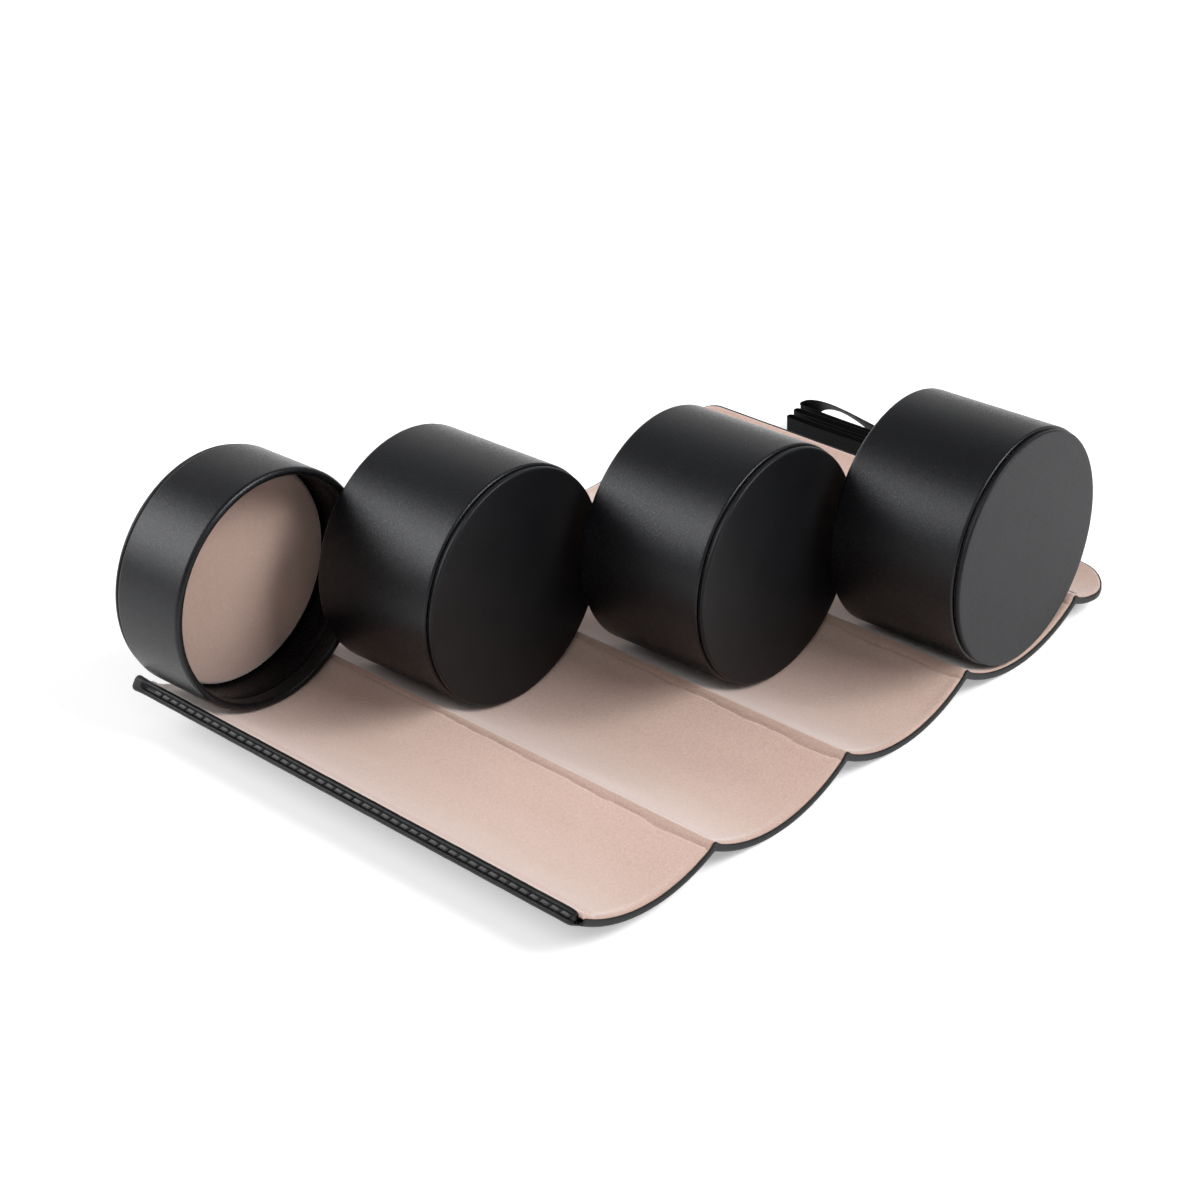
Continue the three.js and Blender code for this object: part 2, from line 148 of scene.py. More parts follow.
def add_camera():
    """Camera from its place, the two angles of its view and a roll."""
    a, e = CAMERA_AZIMUTH, CAMERA_ELEVATION
    back = Vector((math.sin(a) * math.cos(e), -math.cos(a) * math.cos(e), math.sin(e)))
    right = Vector((math.cos(a), math.sin(a), 0))
    up = back.cross(right)
    c, s = math.cos(CAMERA_ROLL), math.sin(CAMERA_ROLL)
    rolled_right = c * right + s * up
    rolled_up = c * up - s * right
    data = bpy.data.cameras.new("camera")
    data.lens = CAMERA_LENS
    data.sensor_width = 36.0
    data.clip_start = 0.01
    camera = bpy.data.objects.new("camera", data)
    turn = Matrix((rolled_right, rolled_up, back)).transposed().to_4x4()
    camera.matrix_world = Matrix.Translation(CAMERA_PLACE) @ turn
    scene.collection.objects.link(camera)
    scene.camera = camera


add_camera()


# Materials
class Nodes:
    """A material's node tree, with the few node kinds used here."""

    def __init__(self, name):
        self.material = bpy.data.materials.new(name)
        self.material.use_nodes = True
        self.tree = self.material.node_tree
        self.shader = self.tree.nodes["Principled BSDF"]
        self.place = self.tree.nodes.new("ShaderNodeTexCoord").outputs["Object"]

    def link(self, source, target):
        self.tree.links.new(source, target)

    def stretched(self, scale):
        mapping = self.tree.nodes.new("ShaderNodeMapping")
        mapping.inputs["Scale"].default_value = scale
        self.link(self.place, mapping.inputs["Vector"])
        return mapping.outputs["Vector"]

    def noise(self, scale, detail=2.0, roughness=0.5, vector=None):
        node = self.tree.nodes.new("ShaderNodeTexNoise")
        node.inputs["Scale"].default_value = scale
        node.inputs["Detail"].default_value = detail
        node.inputs["Roughness"].default_value = roughness
        self.link(vector or self.place, node.inputs["Vector"])
        return node.outputs["Fac"]

    def cells(self, scale):
        node = self.tree.nodes.new("ShaderNodeTexVoronoi")
        node.feature = "DISTANCE_TO_EDGE"
        node.inputs["Scale"].default_value = scale
        self.link(self.place, node.inputs["Vector"])
        return node.outputs["Distance"]

    def ranged(self, value, from_range, to_range):
        node = self.tree.nodes.new("ShaderNodeMapRange")
        node.inputs["From Min"].default_value = from_range[0]
        node.inputs["From Max"].default_value = from_range[1]
        node.inputs["To Min"].default_value = to_range[0]
        node.inputs["To Max"].default_value = to_range[1]
        self.link(value, node.inputs["Value"])
        return node.outputs["Result"]

    def paint(self, factor, dark, light):
        """Base colour between two colours."""
        node = self.tree.nodes.new("ShaderNodeMix")
        node.data_type = "RGBA"
        self.link(factor, node.inputs["Factor"])
        for socket, colour in (("A", dark), ("B", light)):
            target = [s for s in node.inputs if s.name == socket and s.type == "RGBA"][0]
            target.default_value = (*colour, 1.0)
        mixed = [s for s in node.outputs if s.type == "RGBA"][0]
        self.link(mixed, self.shader.inputs["Base Color"])

    def maths(self, operation, a, b):
        node = self.tree.nodes.new("ShaderNodeMath")
        node.operation = operation
        for socket, value in zip(node.inputs, (a, b)):
            if isinstance(value, float):
                socket.default_value = value
            else:
                self.link(value, socket)
        return node.outputs["Value"]

    def bump(self, height, strength, distance, below=None):
        node = self.tree.nodes.new("ShaderNodeBump")
        node.inputs["Strength"].default_value = strength
        node.inputs["Distance"].default_value = distance
        self.link(height, node.inputs["Height"])
        if below is not None:
            self.link(below, node.inputs["Normal"])
        return node.outputs["Normal"]

    def relief(self, height, strength, distance, below=None):
        """The bump that the shader sees."""
        self.link(self.bump(height, strength, distance, below), self.shader.inputs["Normal"])

    def set(self, **sockets):
        for name, value in sockets.items():
            self.shader.inputs[name.replace("_", " ")].default_value = value


# Scales of noise are in features per metre, depths of bump in metres
LEATHER_MOTTLE = 60.0
LEATHER_GLOSS = 1900.0
LEATHER_UNEVEN = 40.0
LEATHER_UNEVEN_DEPTH = 0.0006
LEATHER_PEBBLES = 2300.0
LEATHER_PORES = 2600.0
LEATHER_GRAIN_DEPTH = 0.00008
COOL_SHINE = (0.95, 0.96, 1.0, 1.0)

VELVET_MOTTLE = 1150.0
VELVET_BRUSHED = 22.0
VELVET_BRUSHED_DEPTH = 0.0008
VELVET_PILE = 1800.0
VELVET_PILE_DEPTH = 0.00025

NOISE_MIDDLE = (0.3, 0.7)
FULL = (0.0, 1.0)


def leather_material(name, dark, light, roughness, grain, shine):
    """Smooth coated leather: fine pebble grain, broad unevenness, and a gloss that varies."""
    n = Nodes(name)
    mottled = n.ranged(n.noise(LEATHER_MOTTLE, 4.0), NOISE_MIDDLE, FULL)
    n.paint(mottled, dark, light)
    worn = n.noise(LEATHER_GLOSS, 3.0)
    gloss = n.ranged(worn, NOISE_MIDDLE, (roughness - 0.05, roughness + 0.06))
    n.link(gloss, n.shader.inputs["Roughness"])
    uneven = n.bump(n.noise(LEATHER_UNEVEN, 1.0), 0.1, LEATHER_UNEVEN_DEPTH)
    pebbles = n.ranged(n.cells(LEATHER_PEBBLES), (0.0, 0.3), FULL)
    height = n.maths("ADD", n.maths("MULTIPLY", pebbles, 0.4), n.noise(LEATHER_PORES, 2.0))
    n.relief(height, grain, LEATHER_GRAIN_DEPTH, uneven)
    n.set(Specular_IOR_Level=shine, Specular_Tint=COOL_SHINE)
    return n.material


def velvet_material(name, dark, light, nap):
    """Short pile: mottled colour, brushed streaks along the folds, and sheen."""
    n = Nodes(name)
    mottle = n.noise(VELVET_MOTTLE, 3.0, 0.7)
    brushed = n.noise(VELVET_BRUSHED, 4.0, 0.6, n.stretched((1.0, 0.35, 1.0)))
    tone = n.maths("ADD", n.maths("MULTIPLY", mottle, 0.6), n.maths("MULTIPLY", brushed, 0.4))
    n.paint(n.ranged(tone, (0.35, 0.65), FULL), dark, light)
    pile = n.noise(VELVET_PILE, 3.0, 0.6)
    soft = n.bump(brushed, 0.2, VELVET_BRUSHED_DEPTH)
    n.relief(pile, nap, VELVET_PILE_DEPTH, soft)
    n.set(
        Roughness=0.9,
        Specular_IOR_Level=0.15,
        Sheen_Weight=0.9,
        Sheen_Roughness=0.5,
        Sheen_Tint=(1.0, 0.98, 0.97, 1.0),
    )
    return n.material


def ribbon_material():
    """Black satin ribbon with a fine weave across it."""
    n = Nodes("satin_ribbon")
    weave = n.noise(2600.0, 1.0, 0.4, n.stretched((1.0, 1.0, 0.25)))
    n.paint(weave, (0.002, 0.002, 0.0024), (0.005, 0.005, 0.0056))
    n.relief(weave, 0.3, 0.00008)
    n.set(Roughness=0.6, Specular_IOR_Level=0.12)
    return n.material


def thread_material():
    """Black waxed thread, uneven along its twist."""
    n = Nodes("black_thread")
    twist = n.noise(3000.0, 2.0)
    n.paint(twist, (0.010, 0.010, 0.011), (0.026, 0.026, 0.028))
    n.relief(twist, 0.4, 0.0001)
    n.set(Roughness=0.45)
    return n.material


def card_material():
    """Grey-brown board of pressed fibre."""
    n = Nodes("grey_card")
    fibre = n.noise(500.0, 5.0)
    n.paint(fibre, (0.22, 0.18, 0.13), (0.34, 0.29, 0.22))
    n.relief(fibre, 0.2, 0.0002)
    n.set(Roughness=0.9)
    return n.material


LEATHER = leather_material(
    "drum_leather",
    dark=(0.0021, 0.0023, 0.0029),
    light=(0.0038, 0.0041, 0.005),
    roughness=0.30,
    grain=0.46,
    shine=0.32,
)
MAT_LEATHER = leather_material(
    "mat_leather",
    dark=(0.003, 0.003, 0.0035),
    light=(0.006, 0.006, 0.0066),
    roughness=0.38,
    grain=0.7,
    shine=0.24,
)
DISC_LEATHER = leather_material(
    "disc_leather",
    dark=(0.0023, 0.0025, 0.0033),
    light=(0.0042, 0.0045, 0.0056),
    roughness=0.42,
    grain=0.3,
    shine=0.28,
)
SLEEVE_LEATHER = leather_material(
    "sleeve_leather",
    dark=(0.0016, 0.0016, 0.002),
    light=(0.003, 0.003, 0.0035),
    roughness=0.26,
    grain=0.2,
    shine=0.18,
)
VELVET = velvet_material(
    "blush_velvet",
    dark=(0.455, 0.30, 0.245),
    light=(0.59, 0.425, 0.36),
    nap=0.5,
)
# Velvet with a deeper pile for the strip left of each crest; its darker colour is painted shade
STRIP_SHADE_VELVET = velvet_material(
    "strip_shade_velvet",
    dark=(0.37, 0.24, 0.19),
    light=(0.50, 0.345, 0.285),
    nap=0.8,
)
# Darker copy of the lining's velvet for the pads inside the drums: painted shade for their place deep
# in the drum
PAD_SHADE_VELVET = velvet_material(
    "pad_shade_velvet",
    dark=(0.37, 0.25, 0.205),
    light=(0.44, 0.31, 0.26),
    nap=0.2,
)
RIBBON = ribbon_material()
THREAD = thread_material()
CARD = card_material()


# Mesh helpers
SHARP = math.radians(50)
WELD = 1e-7


def add_mesh(name, points, faces, material):
    """A smooth-shaded mesh object from points in millimetres, its faces turned outwards."""
    mesh = bpy.data.meshes.new(name)
    mesh.from_pydata([(MM * x, MM * y, MM * z) for x, y, z in points], [], faces)
    shape = bmesh.new()
    shape.from_mesh(mesh)
    bmesh.ops.remove_doubles(shape, verts=shape.verts, dist=WELD)
    bmesh.ops.recalc_face_normals(shape, faces=shape.faces)
    if shape.calc_volume(signed=True) < 0:
        bmesh.ops.reverse_faces(shape, faces=shape.faces)
    shape.to_mesh(mesh)
    shape.free()
    mesh.polygons.foreach_set("use_smooth", [True] * len(mesh.polygons))
    mesh.set_sharp_from_angle(angle=SHARP)
    mesh.materials.append(material)
    piece = bpy.data.objects.new(name, mesh)
    scene.collection.objects.link(piece)
    return piece


def loop_faces(loops, count):
    """Quads between successive loops of count points each, numbered in order."""
    faces = []
    for i in range(loops - 1):
        here = i * count
        there = here + count
        for j in range(count):
            k = (j + 1) % count
            faces.append((here + j, here + k, there + k, there + j))
    return faces


def sweep(name, rings, material):
    """A closed body through rings of points, with a flat face at each end."""
    count = len(rings[0])
    faces = loop_faces(len(rings), count)
    faces.append(tuple(range(count)))
    faces.append(tuple((len(rings) - 1) * count + j for j in range(count)))
    return add_mesh(name, [p for ring in rings for p in ring], faces, material)


def arc_points(centre, radius, start, end, steps):
    """Points on a circle in a (radius, height) profile; angles in degrees."""
    angles = np.radians(np.linspace(start, end, steps + 1))
    return [(centre[0] + radius * math.cos(a), centre[1] + radius * math.sin(a)) for a in angles]


# Drums
DRUM_SIDES = 144
SEAM_ANGLE = math.radians(215)
SEAM_DEPTH = 0.22
SEAM_WIDTH = 0.5


def drum_angles():
    """Even steps round the drum, with a few closer ones at the wrap's lap seam."""
    even = np.linspace(0, 2 * math.pi, DRUM_SIDES, endpoint=False)
    close = SEAM_ANGLE + np.array([-1.2, -0.8, -0.5, -0.25, 0.25, 0.5, 0.8, 1.2]) / DRUM_RADIUS
    return np.unique(np.concatenate([even, close, [SEAM_ANGLE]]))


def turned(name, profile, place, facing, yaw, material, seam=False):
    """A profile of (radius, height) turned about the drum's axis; heights run to the mouth."""
    angles = drum_angles()
    points = []
    faces = []
    count = len(angles)
    c, s = math.cos(yaw), math.sin(yaw)

    def put(across, along, rise):
        x = place[0] + c * across - s * along
        y = place[1] + s * across + c * along
        points.append((x, y, place[2] + rise))

    for radius, height in profile:
        if radius == 0:
            put(0.0, facing * height, 0.0)
            continue
        for a in angles:
            r = radius
            if seam and radius > RIM_INNER + 0.3:
                r -= SEAM_DEPTH * bell((a - SEAM_ANGLE) * DRUM_RADIUS, SEAM_WIDTH)
            put(r * math.sin(a), facing * height, r * math.cos(a))
    starts = []
    at = 0
    for radius, _ in profile:
        starts.append(at)
        at += 1 if radius == 0 else count
    rows = list(zip(range(len(profile)), range(1, len(profile))))
    if profile[0][0] != 0:
        rows.append((len(profile) - 1, 0))
    for a, b in rows:
        for j in range(count):
            k = (j + 1) % count
            if profile[a][0] == 0:
                faces.append((starts[a], starts[b] + k, starts[b] + j))
            elif profile[b][0] == 0:
                faces.append((starts[a] + j, starts[a] + k, starts[b]))
            else:
                faces.append((starts[a] + j, starts[a] + k, starts[b] + k, starts[b] + j))
    return add_mesh(name, points, faces, material)


def wrap_profile(length):
    """Leather round the shell: a soft edge at the groove, the barrel, and the rolled mouth."""
    start = GROOVE + GROOVE_HALF
    lip = (DRUM_RADIUS - BORE_RADIUS) / 2
    edge = 0.9
    step = length - WRAP_STEP
    turned_in = length - TURN_IN
    profile = [(RIM_INNER, start + 1), (RIM_INNER, start + 0.1), (RIM_INNER + 0.2, start)]
    profile += arc_points((DRUM_RADIUS - edge, start + edge), edge, 270, 360, 8)
    profile += [(DRUM_RADIUS, h) for h in np.linspace(start + edge + 0.6, length - lip - 0.5, 14)]
    profile += arc_points((DRUM_RADIUS - lip, length - lip), lip, 0, 180, 14)
    profile += [(BORE_RADIUS, h) for h in np.linspace(length - lip - 0.6, turned_in + 0.3, 4)]
    profile += [(BORE_RADIUS + 0.15, turned_in), (SLEEVE_OUTER, turned_in)]
    profile += [(SLEEVE_OUTER, step), (WRAP_INNER, step), (WRAP_INNER, start + 1)]
    return profile


def disc_profile():
    """Leather-covered end plate: flat face, soft outer edge, a fine welt, an edge tucked in behind."""
    edge = 0.7
    tuck = 0.42
    crown = 0.1
    welt_depth = 0.3
    back = GROOVE - GROOVE_HALF
    welt = back - tuck - 0.12
    inner = DISC_RADIUS - welt_depth
    profile = [(0, -DISC_PROUD - crown)]
    for r in (6, 14, 22, 30, 36, 40, 42):
        profile.append((r, -DISC_PROUD - crown * (1 - (r / DISC_RADIUS) ** 2)))
    profile += arc_points((DISC_RADIUS - edge, -DISC_PROUD + edge), edge, 270, 360, 8)
    profile += [(DISC_RADIUS, welt - welt_depth), (inner, welt - 0.12), (inner, welt)]
    profile += arc_points((DISC_RADIUS - tuck, back - tuck), tuck, 0, 90, 6)
    profile += [(RIM_INNER - 1, back), (0, back)]
    return profile


def pad_profile():
    """A padded disc: crowned, with a soft rounded edge that tucks in against the sleeve."""
    soft = 2.2
    crown = 0.9
    profile = [(0, SHELL_START), (PAD_RADIUS, SHELL_START), (PAD_RADIUS, PAD_TOP - soft - 0.6)]
    profile += arc_points((PAD_RADIUS - soft, PAD_TOP - soft), soft, 0, 80, 8)
    inner = PAD_RADIUS - soft
    profile += [(r, PAD_TOP + crown * (1 - (r / inner) ** 2)) for r in (38, 34, 29, 23, 16, 8)]
    profile.append((0, PAD_TOP + crown))
    return profile


def sleeve_profile(length):
    """Thin leather inside the tube, up to the turned-in end of the wrap."""
    end = length - TURN_IN
    heights = np.linspace(SHELL_START, end - 0.1, 6)
    profile = [(SLEEVE_OUTER - 0.05, SHELL_START)] + [(BORE_RADIUS + 0.04, h) for h in heights]
    profile += [(BORE_RADIUS + 0.12, end - 0.02), (SLEEVE_OUTER - 0.05, end - 0.02)]
    return profile


def tube_profile(length):
    """Card tube between wrap and sleeve."""
    heights = np.linspace(TUBE_START, length - TUBE_SHORT, 5)
    outer = [(TUBE_OUTER, h) for h in heights]
    inner = [(TUBE_INNER, h) for h in reversed(heights)]
    return outer + inner


def add_drum(name, length, place, facing, body, yaw):
    """The five pieces of a drum, each in place of its solid."""
    pieces = [
        ("wrap", "leather", wrap_profile(length), LEATHER, "leather"),
        ("sleeve", "inside", sleeve_profile(length), SLEEVE_LEATHER, "sleeve"),
        ("end_disc", "disc", disc_profile(), DISC_LEATHER, "leather"),
        ("base_pad", "pad", pad_profile(), PAD_SHADE_VELVET, "pad"),
        ("tube", "card", tube_profile(length), CARD, "card"),
    ]
    for node, part, profile, material, slot in pieces:
        piece = turned(f"{name}_{part}", profile, place, facing, yaw, material, node == "wrap")
        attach(piece, body)
        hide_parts(f"{name}_{node}")


# Centres of the panels' arcs, and the angle at the lid panel's free end
lid_half = LID_REACH / 2
lid_rise = math.sqrt(LINING_RADIUS**2 - lid_half**2)
LID_CENTRE = (
    FIRST_FOLD - lid_half * math.cos(LID_TILT) + lid_rise * math.sin(LID_TILT),
    CREST_HEIGHT + lid_half * math.sin(LID_TILT) + lid_rise * math.cos(LID_TILT),
)
LID_END = -math.asin(lid_half / LINING_RADIUS) - LID_TILT
CENTRES = {1: LID_CENTRE}
for number in (2, 3, 4):
    CENTRES[number] = (crest_x(number) - HALF_PITCH, ARC_HEIGHT)

# Each cup's offset from the middle of its panel, and the place of its closed end
CUPS = {2: (0.6, 14.4), 3: (1.8, -47.0), 4: (-0.4, -106.7)}

# The cups are glued on slightly askew, turned about a point near their closed end
CUP_YAW = math.radians(2)
CUP_PIVOT = CUP_LENGTH * 0.25
for number, (offset, front) in CUPS.items():
    centre = CENTRES[number]
    height = centre[1] - math.sqrt(SEAT**2 - offset**2)
    x = centre[0] + offset + CUP_PIVOT * math.sin(CUP_YAW)
    y = front + CUP_PIVOT * (1 - math.cos(CUP_YAW))
    add_drum(f"cup_{number}", CUP_LENGTH, (x, y, height), 1, f"panel_{number}", CUP_YAW)
lid_x = LID_CENTRE[0] + SEAT * math.sin(LID_SEAT_TURN) - LID_LENGTH / 2 * math.sin(LID_YAW)
lid_z = LID_CENTRE[1] - SEAT * math.cos(LID_SEAT_TURN)
add_drum("lid", LID_LENGTH, (lid_x, LID_CLOSED_END, lid_z), -1, "panel_1", LID_YAW)


# Mat: profiles across its width, as (y, depth below the lining's surface)
LINING_HALF = HALF_WIDTH - 0.75
LINING_EDGE = [
    (0.0, 0.5),
    (0.12, 0.2),
    (0.4, -0.06),
    (0.9, -0.26),
    (1.6, -0.28),
    (2.6, -0.12),
    (3.6, 0.06),
    (4.8, 0.04),
]


def lining_profile():
    """Velvet edge to edge: a rounded pile edge, a slight pillow beside it, and a flat underside."""
    front = [(-LINING_HALF + inset, depth) for inset, depth in LINING_EDGE]
    middle = [(y, 0.0) for y in np.linspace(-LINING_HALF + 6, LINING_HALF - 6, 70)]
    back = [(-y, depth) for y, depth in reversed(front)]
    under = [(y, LINING_THICK) for y in np.linspace(LINING_HALF, -LINING_HALF, 12)]
    return front + middle + back + under


def cover_profile():
    """Leather tray: lip beside the lining, rounded outer edges, and the underside."""
    lip = [(0.72, 0.58), (0.62, 0.4), (0.36, 0.3), (0.1, 0.44), (0.0, 0.72), (0.0, 2.3)]
    lip += [(0.12, 2.75), (0.45, 3.03), (0.9, MAT_THICK)]
    front = [(-HALF_WIDTH + inset, depth) for inset, depth in lip]
    under = [(y, MAT_THICK) for y in np.linspace(-HALF_WIDTH + 4, HALF_WIDTH - 4, 40)]
    back = [(-y, depth) for y, depth in reversed(front)]
    inside = [(HALF_WIDTH - 0.76, 1.0), (HALF_WIDTH - 0.95, COVER_INSIDE)]
    inside += [(-y, depth) for y, depth in reversed(inside)]
    return front + under + back + inside


def ripple(x, y):
    """Slight unevenness of the glued cloth, in millimetres."""
    slow = math.sin(0.055 * x + 0.031 * y) * math.sin(0.043 * y - 0.02 * x + 1.3)
    quick = math.sin(0.16 * x + 0.9) * math.sin(0.11 * y + 0.4 * math.sin(0.05 * x))
    return 0.10 * slow + 0.05 * quick


def on_arc(centre, angle, depth, y):
    """A point on a panel, by its angle from the lowest line of the arc."""
    r = LINING_RADIUS + depth
    return (centre[0] + r * math.sin(angle), y, centre[1] - r * math.cos(angle))


def angle_at(centre, x, depth):
    return math.asin((x - centre[0]) / (LINING_RADIUS + depth))


PANEL_STEPS = 44
END_ROUND = 1.2
FREE_END_STEPS = [0.0, 0.004, 0.009, 0.015, 0.022, 0.032, 0.045, 0.06]

# Points of a profile above this depth belong to the visible pile
PILE = 0.45


def free_end_lift(inside):
    """Lining at the bound end, by distance from it: rolled edge, a welt, and the dip behind it."""
    drop = max(0.0, 1 - inside / END_ROUND)
    welt = 0.5 * bell(inside - 2.2, 1.7)
    dip = 0.45 * bell(inside - 6.0, 1.5)
    return welt - dip - 0.6 * drop * drop


def add_panel(number):
    """The stiff part of a panel, between the strips curved over its folds."""
    centre = CENTRES[number]
    right = crest_x(number) - STRIP
    left = crest_x(number - 1) + STRIP
    free_end = number == 1
    for kind, profile, material in (
        ("lining", lining_profile(), VELVET),
        ("cover", cover_profile(), MAT_LEATHER),
    ):
        steps = np.linspace(0, 1, PANEL_STEPS + 1)
        if free_end:
            steps = np.concatenate([FREE_END_STEPS, steps[4:]])
        rings = []
        for t in steps:
            ring = []
            for y, depth in profile:
                start = LID_END if free_end else angle_at(centre, left, depth)
                end = angle_at(centre, right, depth)
                angle = lerp(start, end, t)
                lift = 0.0
                if kind == "lining" and depth < PILE:
                    fade = smoothstep(0, 0.12, t) * smoothstep(0, 0.12, 1 - t)
                    lift = ripple(centre[0] + 60 * angle, y) * fade
                    if free_end:
                        lift += free_end_lift((angle - LID_END) * LINING_RADIUS)
                ring.append(on_arc(centre, angle, depth - lift, y))
            rings.append(ring)
        piece = sweep(f"{kind}_{number}", rings, material)
        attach(piece, f"panel_{number}")
        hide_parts(f"panel_{number}_{kind}")


for number in (1, 2, 3, 4):
    add_panel(number)


# Flap: curled, and tighter over its back half
def flap_shape(y):
    """Radius of the curl, length along it, and its centre, at one place across the mat."""
    along = min(1.0, max(0.0, (y + HALF_WIDTH) / (HALF_WIDTH * 0.85)))
    radius = lerp(*FLAP_CURL, along)
    reach = lerp(*FLAP_REACH, along)
    centre_x = crest_x(4) + radius * math.sin(FLAP_SLOPE)
    centre_z = CREST_HEIGHT + radius * math.cos(FLAP_SLOPE)
    return radius, reach, (centre_x, centre_z)


def flap_end(y, inset):
    """Angle on the curl where the flap ends, with its rounded corners and an inset outline."""
    radius, reach, _ = flap_shape(y)
    into_corner = max(0.0, FLAP_CORNER - (HALF_WIDTH - abs(y)))
    corner = FLAP_CORNER - inset
    cut_back = FLAP_CORNER - math.sqrt(max(0.0, corner**2 - into_corner**2)) - inset
    return -FLAP_SLOPE + (reach - inset - max(0.0, cut_back)) / radius


def flap_point(y, t, inset, depth):
    """A point on the flap, t running from its fold strip to its free end."""
    radius, _, centre = flap_shape(y)
    r = radius + depth
    start = math.asin((crest_x(4) + STRIP - centre[0]) / r)
    angle = lerp(start, flap_end(y, inset), t)
    return (centre[0] + r * math.sin(angle), y, centre[1] - r * math.cos(angle))


def flap_rows(inset):
    """Places across the flap's width, close together at the rounded corners."""
    half = HALF_WIDTH - inset
    corner = FLAP_CORNER - inset
    near = [corner * (1 - math.cos(t * math.pi / 2)) for t in np.linspace(0, 1, 15)]
    middle = list(np.linspace(-half + corner, half - corner, 41))[1:-1]
    return [-half + s for s in near] + middle + [half - s for s in reversed(near)]


FLAP_STEPS = 20


def flap_plate(name, layers, material):
    """A closed plate: the grid of the first layer, outlines of the others, the grid of the last."""
    points = []
    faces = []
    steps = np.linspace(0, 1, FLAP_STEPS + 1)

    def grid(inset, depth, lift):
        rows = []
        for y in flap_rows(inset):
            row = []
            for t in steps:
                d = depth - (lift * ripple(60 * t, y) * t * (1 - t) * 4)
                row.append(len(points))
                points.append(flap_point(y, t, inset, d))
            rows.append(row)
        for a, b in zip(rows, rows[1:]):
            for j in range(FLAP_STEPS):
                faces.append((a[j], a[j + 1], b[j + 1], b[j]))
        return rows

    def outline(rows):
        free_side = [row[-1] for row in rows[1:-1]]
        fold_side = [row[0] for row in rows[-2:0:-1]]
        return rows[0] + free_side + rows[-1][::-1] + fold_side

    def border(inset, depth):
        rows = [[(y, t) for t in steps] for y in flap_rows(inset)]
        numbers = []
        for y, t in outline(rows):
            numbers.append(len(points))
            points.append(flap_point(y, t, inset, depth))
        return numbers

    loops = [outline(grid(*layers[0], 0.0))]
    loops += [border(*layer) for layer in layers[1:-1]]
    loops.append(outline(grid(*layers[-1], 1.0)))
    for a, b in zip(loops, loops[1:]):
        for j in range(len(a)):
            k = (j + 1) % len(a)
            faces.append((a[j], a[k], b[k], b[j]))
    return add_mesh(name, points, faces, material)


# Layers of the flap's plates, as (inset of the outline, depth), from the underside up
COVER_LAYERS = [
    (0.7, MAT_THICK),
    (0.2, 2.9),
    (0.0, 2.4),
    (0.0, 0.75),
    (0.1, 0.48),
    (0.36, 0.34),
    (0.62, 0.44),
    (0.8, 1.0),
]
LINING_LAYERS = [
    (0.75, LINING_THICK),
    (0.6, 0.45),
    (0.7, 0.12),
    (1.0, -0.08),
    (1.7, -0.2),
    (3.0, -0.06),
]
for kind, layers, material, slot in (
    ("cover", COVER_LAYERS, MAT_LEATHER, "leather"),
    ("lining", LINING_LAYERS, VELVET, "lining"),
):
    piece = flap_plate(f"{kind}_flap", layers, material)
    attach(piece, "flap")
    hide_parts(f"flap_{kind}")


# Fold strips: velvet and leather curved over each crest, in steps that get closer to it
FOLD_STEPS = [STRIP, 4.5, 4.1, 3.8, 3.5, 3.2, 2.9, 2.6, 2.3, 2.0, 1.7, 1.4, 1.1, 0.85, 0.6, 0.4, 0.2]
RIDGE_ROUND = 0.45


def fold_height(fold, offset, y, depth):
    """Height of the mat at an upright plane beside a crest; depth is below the lining's surface."""
    x = crest_x(fold) + offset
    if offset > 0 and fold == 4:
        radius, _, centre = flap_shape(y)
    else:
        radius = LINING_RADIUS
        centre = CENTRES[fold if offset <= 0 else fold + 1]
    return centre[1] - math.sqrt((radius + depth) ** 2 - (x - centre[0]) ** 2)


def seam_place(fold, y):
    """Distance from the crest to the pressed seam on its left, wider and puckered to the front."""
    to_front = smoothstep(40, -95, y)
    pucker = 0.25 * math.sin(0.21 * y + fold) + 0.18 * math.sin(0.53 * y + 2.1 * fold)
    pucker += 0.45 * bell(y + 78 + 7 * fold, 5.0)
    return 1.9 + 1.3 * to_front + pucker * (0.4 + 0.6 * to_front)


def lining_relief(fold, offset, y):
    """Height added to the lining at a crest: seam and welt on its left, a slight dip on its right."""
    seam = seam_place(fold, y)
    groove = 0.5 * bell(offset + seam, 0.42)
    welt = 0.16 * bell(offset + seam * 0.5, seam * 0.35)
    ridge = 0.18 * bell(offset, 0.6)
    settle = 0.2 * smoothstep(0.3, 1.6, offset) * (1 - smoothstep(2.0, 4.6, offset))
    return welt + ridge - groove - settle


def fold_ring(fold, offset, profile, kind):
    """The mat's profile at one step beside a crest, rounded over it and thinner where it bends."""
    ring = []
    rounding = RIDGE_ROUND * (1 - smoothstep(0, 3, abs(offset)))
    rounded = math.copysign(math.hypot(offset, rounding), offset)
    edge_fade = 1 - smoothstep(3.4, STRIP, abs(offset))
    thin = 0.72 + 0.28 * smoothstep(1.0, 4.6, abs(offset))
    for y, depth in profile:
        at_edge = HALF_WIDTH - abs(y)
        d = depth
        if kind == "cover" and at_edge > 3:
            d = depth * thin
        if kind == "lining" and depth >= LINING_THICK:
            d = depth * (0.9 + 0.1 * thin)
        left = fold_height(fold, -abs(rounded), y, d)
        right = fold_height(fold, abs(rounded), y, d)
        share = smoothstep(-0.4, 0.4, offset)
        z = lerp(left, right, share)
        if kind == "lining" and depth < PILE:
            z += lining_relief(fold, offset, y) * edge_fade
        if kind == "cover" and depth < 0.5:
            z += 0.8 * bell(offset, 1.7)
        ring.append((crest_x(fold) + offset, y, z))
    return ring


